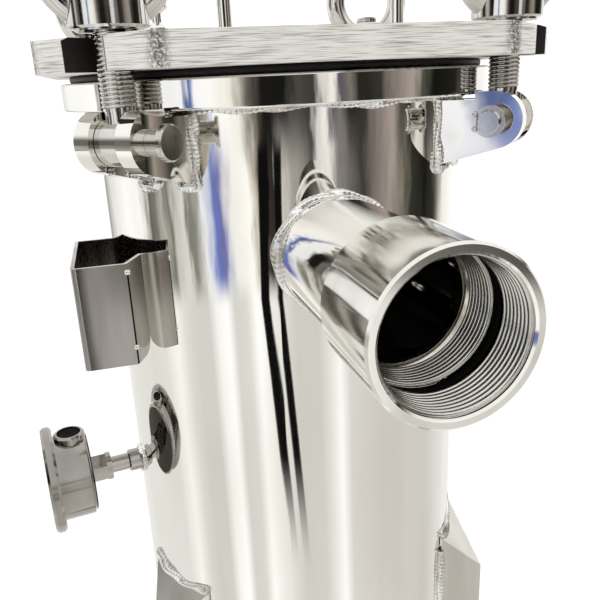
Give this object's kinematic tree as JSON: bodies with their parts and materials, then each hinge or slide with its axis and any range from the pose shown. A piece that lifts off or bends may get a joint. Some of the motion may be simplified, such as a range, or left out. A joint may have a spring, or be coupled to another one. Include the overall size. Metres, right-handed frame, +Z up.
{
  "type": "bag filter housing",
  "caption": "Upright bag filter housing with a side inlet, swing-bolt plate lid, bottom outlet, pressure gauge, bracket plate and angle legs.",
  "frame": {"origin": "on the vessel's axis at floor level, the centre of the anchor bolt circle", "axes": "+Z up along the vessel, -Y out through the inlet, the gauge and bracket on the -X side"},
  "size_m": [0.3343, 0.4029, 0.8819],
  "materials": {
    "polished_steel": "mirror polished stainless steel",
    "brushed_steel_plate": "plate with brushed cut edges",
    "turned_steel": "machined stainless steel",
    "cast_steel": "forged and polished stainless steel",
    "satin_steel": "satin rolled stainless steel",
    "sheet_steel": "bent stainless sheet",
    "basket_steel": "perforated stainless sheet",
    "black_rubber": "matt",
    "felt": "needled felt",
    "dial_white": "printed dial",
    "pointer_black": "matt black",
    "gauge_glass": "clear"
  },
  "bodies": {
    "housing": {"basket": "basket_steel", "body_flange": "polished_steel", "bottom_head": "polished_steel", "filter_bag": "felt", "foot_back": "satin_steel", "foot_left": "satin_steel", "foot_right": "satin_steel", "gauge_bezel": "polished_steel", "gauge_boss": "polished_steel", "gauge_case": "polished_steel", "gauge_dial": "dial_white", "gauge_hex": "polished_steel", "gauge_plug": "polished_steel", "gauge_stem": "polished_steel", "gauge_window": "gauge_glass", "inlet_coupling": "polished_steel", "inlet_stub": "polished_steel", "leg_back": "satin_steel", "leg_cap_back": "satin_steel", "leg_cap_left": "satin_steel", "leg_cap_right": "satin_steel", "leg_left": "satin_steel", "leg_right": "satin_steel", "lid": "brushed_steel_plate", "lid_gasket": "black_rubber", "lid_handle": "polished_steel", "lugs_back_left": "polished_steel", "lugs_back_right": "polished_steel", "lugs_front_left": "polished_steel", "lugs_front_right": "polished_steel", "nameplate_bracket": "sheet_steel", "outlet_coupling": "polished_steel", "outlet_stub": "polished_steel", "seat_ring": "polished_steel", "shell": "polished_steel", "slot_pads": "polished_steel", "vent_body": "polished_steel"},
    "swing_bolt_front_left": {"swing_bolt_front_left": "turned_steel"},
    "washer_front_left": {"washer_front_left": "turned_steel"},
    "eye_nut_front_left": {"eye_nut_front_left": "cast_steel"},
    "hinge_pin_front_left": {"hinge_pin_front_left": "turned_steel", "pin_clip_front_left": "turned_steel"},
    "swing_bolt_front_right": {"swing_bolt_front_right": "turned_steel"},
    "washer_front_right": {"washer_front_right": "turned_steel"},
    "eye_nut_front_right": {"eye_nut_front_right": "cast_steel"},
    "hinge_pin_front_right": {"hinge_pin_front_right": "turned_steel", "pin_clip_front_right": "turned_steel"},
    "swing_bolt_back_right": {"swing_bolt_back_right": "turned_steel"},
    "washer_back_right": {"washer_back_right": "turned_steel"},
    "eye_nut_back_right": {"eye_nut_back_right": "cast_steel"},
    "hinge_pin_back_right": {"hinge_pin_back_right": "turned_steel", "pin_clip_back_right": "turned_steel"},
    "swing_bolt_back_left": {"swing_bolt_back_left": "turned_steel"},
    "washer_back_left": {"washer_back_left": "turned_steel"},
    "eye_nut_back_left": {"eye_nut_back_left": "cast_steel"},
    "hinge_pin_back_left": {"hinge_pin_back_left": "turned_steel", "pin_clip_back_left": "turned_steel"},
    "gauge_pointer": {"gauge_pointer": "pointer_black"},
    "vent_knob": {"vent_knob": "polished_steel"}
  },
  "joints": [
    {"name": "bolt_swing_front_left", "type": "hinge", "parent": "housing", "child": "swing_bolt_front_left", "pos_m": [-0.0973, -0.0973, 0.773], "axis": [0.7071, -0.7071, 0], "range_deg": [0, 150]},
    {"name": "washer_rise_front_left", "type": "slide", "parent": "swing_bolt_front_left", "child": "washer_front_left", "axis": [0, 0, 1], "range_m": [0, 0.008]},
    {"name": "nut_turn_front_left", "type": "hinge", "parent": "washer_front_left", "child": "eye_nut_front_left", "pos_m": [-0.0973, -0.0973, 0.82125], "axis": [0, 0, 1], "range_deg": [0, 1440]},
    {"name": "pin_slide_front_left", "type": "slide", "parent": "housing", "child": "hinge_pin_front_left", "axis": [0.7071, -0.7071, 0], "range_m": [-0.0081, 0]},
    {"name": "bolt_swing_front_right", "type": "hinge", "parent": "housing", "child": "swing_bolt_front_right", "pos_m": [0.0973, -0.0973, 0.773], "axis": [0.7071, 0.7071, 0], "range_deg": [0, 150]},
    {"name": "washer_rise_front_right", "type": "slide", "parent": "swing_bolt_front_right", "child": "washer_front_right", "axis": [0, 0, 1], "range_m": [0, 0.008]},
    {"name": "nut_turn_front_right", "type": "hinge", "parent": "washer_front_right", "child": "eye_nut_front_right", "pos_m": [0.0973, -0.0973, 0.82125], "axis": [0, 0, 1], "range_deg": [0, 1440]},
    {"name": "pin_slide_front_right", "type": "slide", "parent": "housing", "child": "hinge_pin_front_right", "axis": [0.7071, 0.7071, 0], "range_m": [0, 0.0081]},
    {"name": "bolt_swing_back_right", "type": "hinge", "parent": "housing", "child": "swing_bolt_back_right", "pos_m": [0.0973, 0.0973, 0.773], "axis": [-0.7071, 0.7071, 0], "range_deg": [0, 150]},
    {"name": "washer_rise_back_right", "type": "slide", "parent": "swing_bolt_back_right", "child": "washer_back_right", "axis": [0, 0, 1], "range_m": [0, 0.008]},
    {"name": "nut_turn_back_right", "type": "hinge", "parent": "washer_back_right", "child": "eye_nut_back_right", "pos_m": [0.0973, 0.0973, 0.82125], "axis": [0, 0, 1], "range_deg": [0, 1440]},
    {"name": "pin_slide_back_right", "type": "slide", "parent": "housing", "child": "hinge_pin_back_right", "axis": [-0.7071, 0.7071, 0], "range_m": [0, 0.0081]},
    {"name": "bolt_swing_back_left", "type": "hinge", "parent": "housing", "child": "swing_bolt_back_left", "pos_m": [-0.0973, 0.0973, 0.773], "axis": [-0.7071, -0.7071, 0], "range_deg": [0, 150]},
    {"name": "washer_rise_back_left", "type": "slide", "parent": "swing_bolt_back_left", "child": "washer_back_left", "axis": [0, 0, 1], "range_m": [0, 0.008]},
    {"name": "nut_turn_back_left", "type": "hinge", "parent": "washer_back_left", "child": "eye_nut_back_left", "pos_m": [-0.0973, 0.0973, 0.82125], "axis": [0, 0, 1], "range_deg": [0, 1440]},
    {"name": "pin_slide_back_left", "type": "slide", "parent": "housing", "child": "hinge_pin_back_left", "axis": [-0.7071, -0.7071, 0], "range_m": [0, 0.0081]},
    {"name": "pointer_turn", "type": "hinge", "parent": "housing", "child": "gauge_pointer", "pos_m": [-0.16092, -0.02262, 0.564], "axis": [0.9903, 0.1392, 0], "range_deg": [0, 270]},
    {"name": "vent_turn", "type": "hinge", "parent": "housing", "child": "vent_knob", "pos_m": [-0.068, 0.01, 0.855], "axis": [0, 0, 1], "range_deg": [0, 720]}
  ],
  "couplings": [
    {"joint": "washer_rise_front_left", "follows": "nut_turn_front_left", "m_per_rad": 0.00031831},
    {"joint": "washer_rise_front_right", "follows": "nut_turn_front_right", "m_per_rad": 0.00031831},
    {"joint": "washer_rise_back_right", "follows": "nut_turn_back_right", "m_per_rad": 0.00031831},
    {"joint": "washer_rise_back_left", "follows": "nut_turn_back_left", "m_per_rad": 0.00031831}
  ]
}
